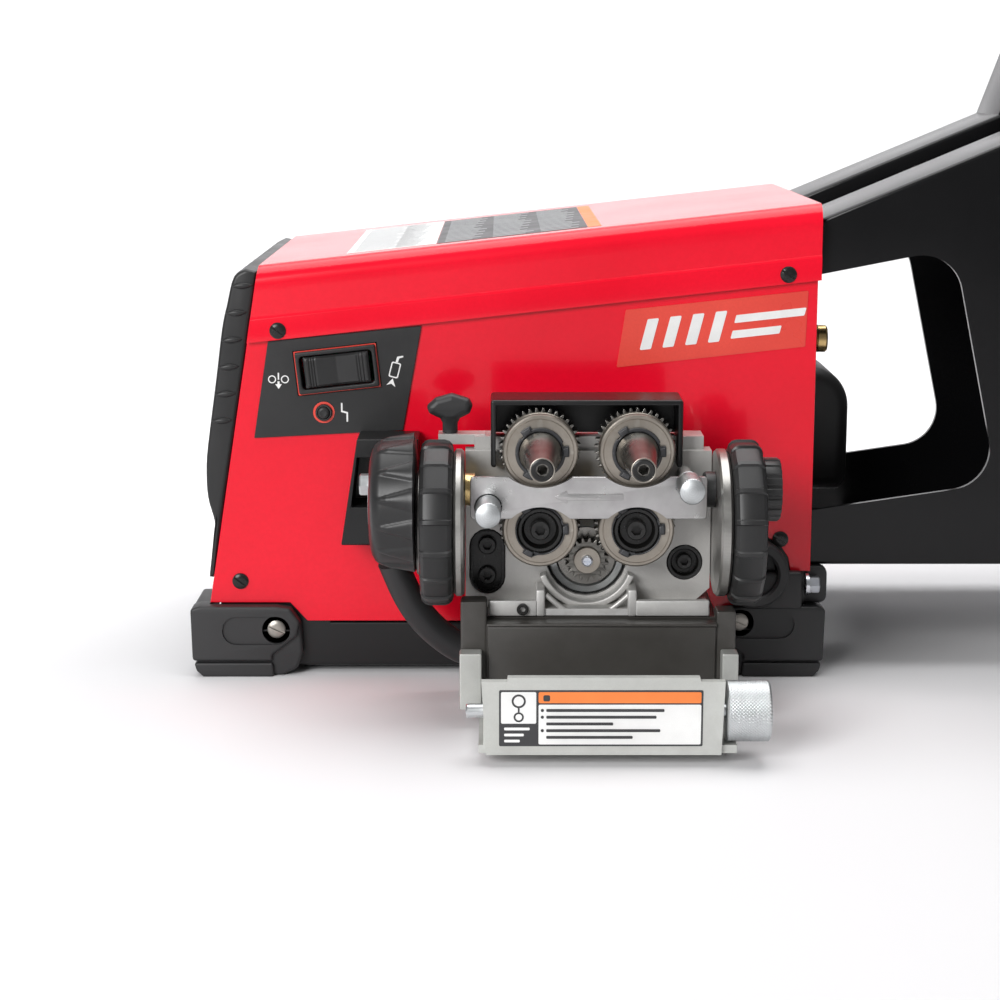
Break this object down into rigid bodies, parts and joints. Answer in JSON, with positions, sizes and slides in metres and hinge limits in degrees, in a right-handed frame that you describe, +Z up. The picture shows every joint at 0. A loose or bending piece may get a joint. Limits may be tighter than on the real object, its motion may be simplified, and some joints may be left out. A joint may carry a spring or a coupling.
{
  "type": "wire feeder",
  "caption": "Bench welding wire feeder: a sloping sheet-metal case with a geared roll drive on its side and a channel-frame reel stand behind it.",
  "frame": {"origin": "on the ground under the middle of the bounding box", "axes": "+X from the control front to the reel stand, +Y from the drive side to the far side, +Z up"},
  "size_m": [0.741, 0.4292, 0.4439],
  "materials": {
    "red_paint": "gloss",
    "red_button": "gloss",
    "black_paint": "satin",
    "black_moulding": "satin",
    "black_rubber": "matte",
    "cast_aluminium": "satin cast",
    "gear_steel": "machined",
    "roll_steel": "machined",
    "zinc_plate": "bright zinc",
    "brass": "machined",
    "circuit_board": "satin"
  },
  "bodies": {
    "case": {"base_tray": "black_paint", "control_board": "circuit_board", "control_panel": "black_paint", "cradle": "cast_aluminium", "drive_bracket": "black_paint", "drive_motor": "black_paint", "electrode_cable": "black_rubber", "feed_plate": "cast_aluminium", "foot_front_far": "black_rubber", "foot_front_near": "black_rubber", "foot_rear_far": "black_rubber", "foot_rear_near": "black_rubber", "front_bezel": "black_moulding", "gas_fitting": "brass", "gear_hood": "black_paint", "gearbox": "cast_aluminium", "guide_plate": "zinc_plate", "gun_collar": "black_moulding", "gun_receiver": "cast_aluminium", "inlet_receiver": "cast_aluminium", "insulator_block": "black_moulding", "legend_plate": "black_paint", "middle_guide": "brass", "outlet_guide": "brass", "rear_boot": "black_rubber", "rear_panel": "black_paint", "reel_spindle": "gear_steel", "rocker_bezel": "black_moulding", "side_panel_far": "red_paint", "side_panel_near": "red_paint", "stand_cross_plate": "black_paint", "stand_foot": "black_rubber", "stand_frame_far": "black_paint", "stand_frame_near": "black_paint", "top_cover": "red_paint"},
    "rocker": {"rocker_paddle": "black_moulding"},
    "breaker": {"breaker_button": "red_button"},
    "wire_speed_knob": {"knob_wire_speed": "black_moulding"},
    "voltage_knob": {"knob_voltage": "black_moulding"},
    "pinion": {"output_pinion": "gear_steel"},
    "thumbscrew_left": {"guide_thumbscrew_left": "zinc_plate"},
    "thumbscrew_right": {"guide_thumbscrew_right": "zinc_plate"},
    "gun_screw": {"gun_thumbscrew": "black_moulding"},
    "ring_gun": {"clamp_ring_gun": "black_moulding"},
    "ring_inlet": {"clamp_ring_inlet": "black_moulding"},
    "inlet_nut_body": {"inlet_nut": "black_moulding"},
    "clamp_knob": {"cradle_knob": "zinc_plate"},
    "hub": {"reel_hub": "black_moulding"},
    "roll_upper_left": {"drive_gear_upper_left": "gear_steel", "drive_roll_upper_left": "roll_steel", "roll_lock_upper_left": "black_moulding"},
    "roll_upper_right": {"drive_gear_upper_right": "gear_steel", "drive_roll_upper_right": "roll_steel", "roll_lock_upper_right": "black_moulding"},
    "roll_lower_left": {"drive_gear_lower_left": "gear_steel", "drive_roll_lower_left": "roll_steel", "roll_lock_lower_left": "black_moulding"},
    "roll_lower_right": {"drive_gear_lower_right": "gear_steel", "drive_roll_lower_right": "roll_steel", "roll_lock_lower_right": "black_moulding"}
  },
  "joints": [
    {"name": "rocker_tip", "type": "hinge", "parent": "case", "child": "rocker", "pos_m": [-0.283, -0.0292, 0.181], "axis": [-0.109, 0, 0.994], "range_deg": [-7, 7], "stiffness_Nm_per_rad": 0.05},
    {"name": "breaker_push", "type": "slide", "parent": "case", "child": "breaker", "axis": [0, 1, 0], "range_m": [0, 0.003], "stiffness_N_per_m": 200},
    {"name": "wire_speed_turn", "type": "hinge", "parent": "case", "child": "wire_speed_knob", "pos_m": [-0.34428, 0.0398, 0.165], "axis": [-0.9871, 0, 0.1603], "range_deg": [-150, 150]},
    {"name": "voltage_turn", "type": "hinge", "parent": "case", "child": "voltage_knob", "pos_m": [-0.34428, 0.1388, 0.165], "axis": [-0.9871, 0, 0.1603], "range_deg": [-150, 150]},
    {"name": "roll_lower_left_spin", "type": "hinge", "parent": "case", "child": "roll_lower_left", "pos_m": [-0.1678, -0.1172, 0.1055], "axis": [0, 1, 0], "continuous": true},
    {"name": "roll_upper_left_spin", "type": "hinge", "parent": "case", "child": "roll_upper_left", "pos_m": [-0.1678, -0.1172, 0.148], "axis": [0, 1, 0], "continuous": true},
    {"name": "roll_lower_right_spin", "type": "hinge", "parent": "case", "child": "roll_lower_right", "pos_m": [-0.1158, -0.1172, 0.1055], "axis": [0, 1, 0], "continuous": true},
    {"name": "roll_upper_right_spin", "type": "hinge", "parent": "case", "child": "roll_upper_right", "pos_m": [-0.1158, -0.1172, 0.148], "axis": [0, 1, 0], "continuous": true},
    {"name": "pinion_spin", "type": "hinge", "parent": "case", "child": "pinion", "pos_m": [-0.1418, -0.1172, 0.08606], "axis": [0, 1, 0], "continuous": true},
    {"name": "thumbscrew_left_turn", "type": "hinge", "parent": "case", "child": "thumbscrew_left", "pos_m": [-0.1959, -0.1172, 0.1194], "axis": [0, 1, 0], "range_deg": [-180, 180]},
    {"name": "thumbscrew_right_turn", "type": "hinge", "parent": "case", "child": "thumbscrew_right", "pos_m": [-0.0885, -0.1172, 0.1323], "axis": [0, 1, 0], "range_deg": [-180, 180]},
    {"name": "gun_screw_turn", "type": "hinge", "parent": "case", "child": "gun_screw", "pos_m": [-0.2171, -0.0842, 0.16], "axis": [0, 0, 1], "range_deg": [-180, 180]},
    {"name": "ring_gun_turn", "type": "hinge", "parent": "case", "child": "ring_gun", "pos_m": [-0.2235, -0.1172, 0.1085], "axis": [1, 0, 0], "range_deg": [-45, 45]},
    {"name": "ring_inlet_turn", "type": "hinge", "parent": "case", "child": "ring_inlet", "pos_m": [-0.05735, -0.1172, 0.1085], "axis": [1, 0, 0], "range_deg": [-45, 45]},
    {"name": "inlet_nut_turn", "type": "hinge", "parent": "case", "child": "inlet_nut_body", "pos_m": [-0.043, -0.1172, 0.12675], "axis": [1, 0, 0], "range_deg": [-180, 180]},
    {"name": "clamp_turn", "type": "hinge", "parent": "case", "child": "clamp_knob", "pos_m": [-0.0625, -0.1992, 0.0268], "axis": [1, 0, 0], "range_deg": [-180, 180]},
    {"name": "hub_spin", "type": "hinge", "parent": "case", "child": "hub", "pos_m": [0.2025, -0.0722, 0.4], "axis": [0, 1, 0], "continuous": true}
  ],
  "couplings": [
    {"joint": "roll_upper_left_spin", "follows": "roll_lower_left_spin", "ratio": -1},
    {"joint": "roll_lower_right_spin", "follows": "roll_lower_left_spin", "ratio": 1},
    {"joint": "roll_upper_right_spin", "follows": "roll_lower_left_spin", "ratio": -1},
    {"joint": "pinion_spin", "follows": "roll_lower_left_spin", "ratio": -1.8947}
  ]
}
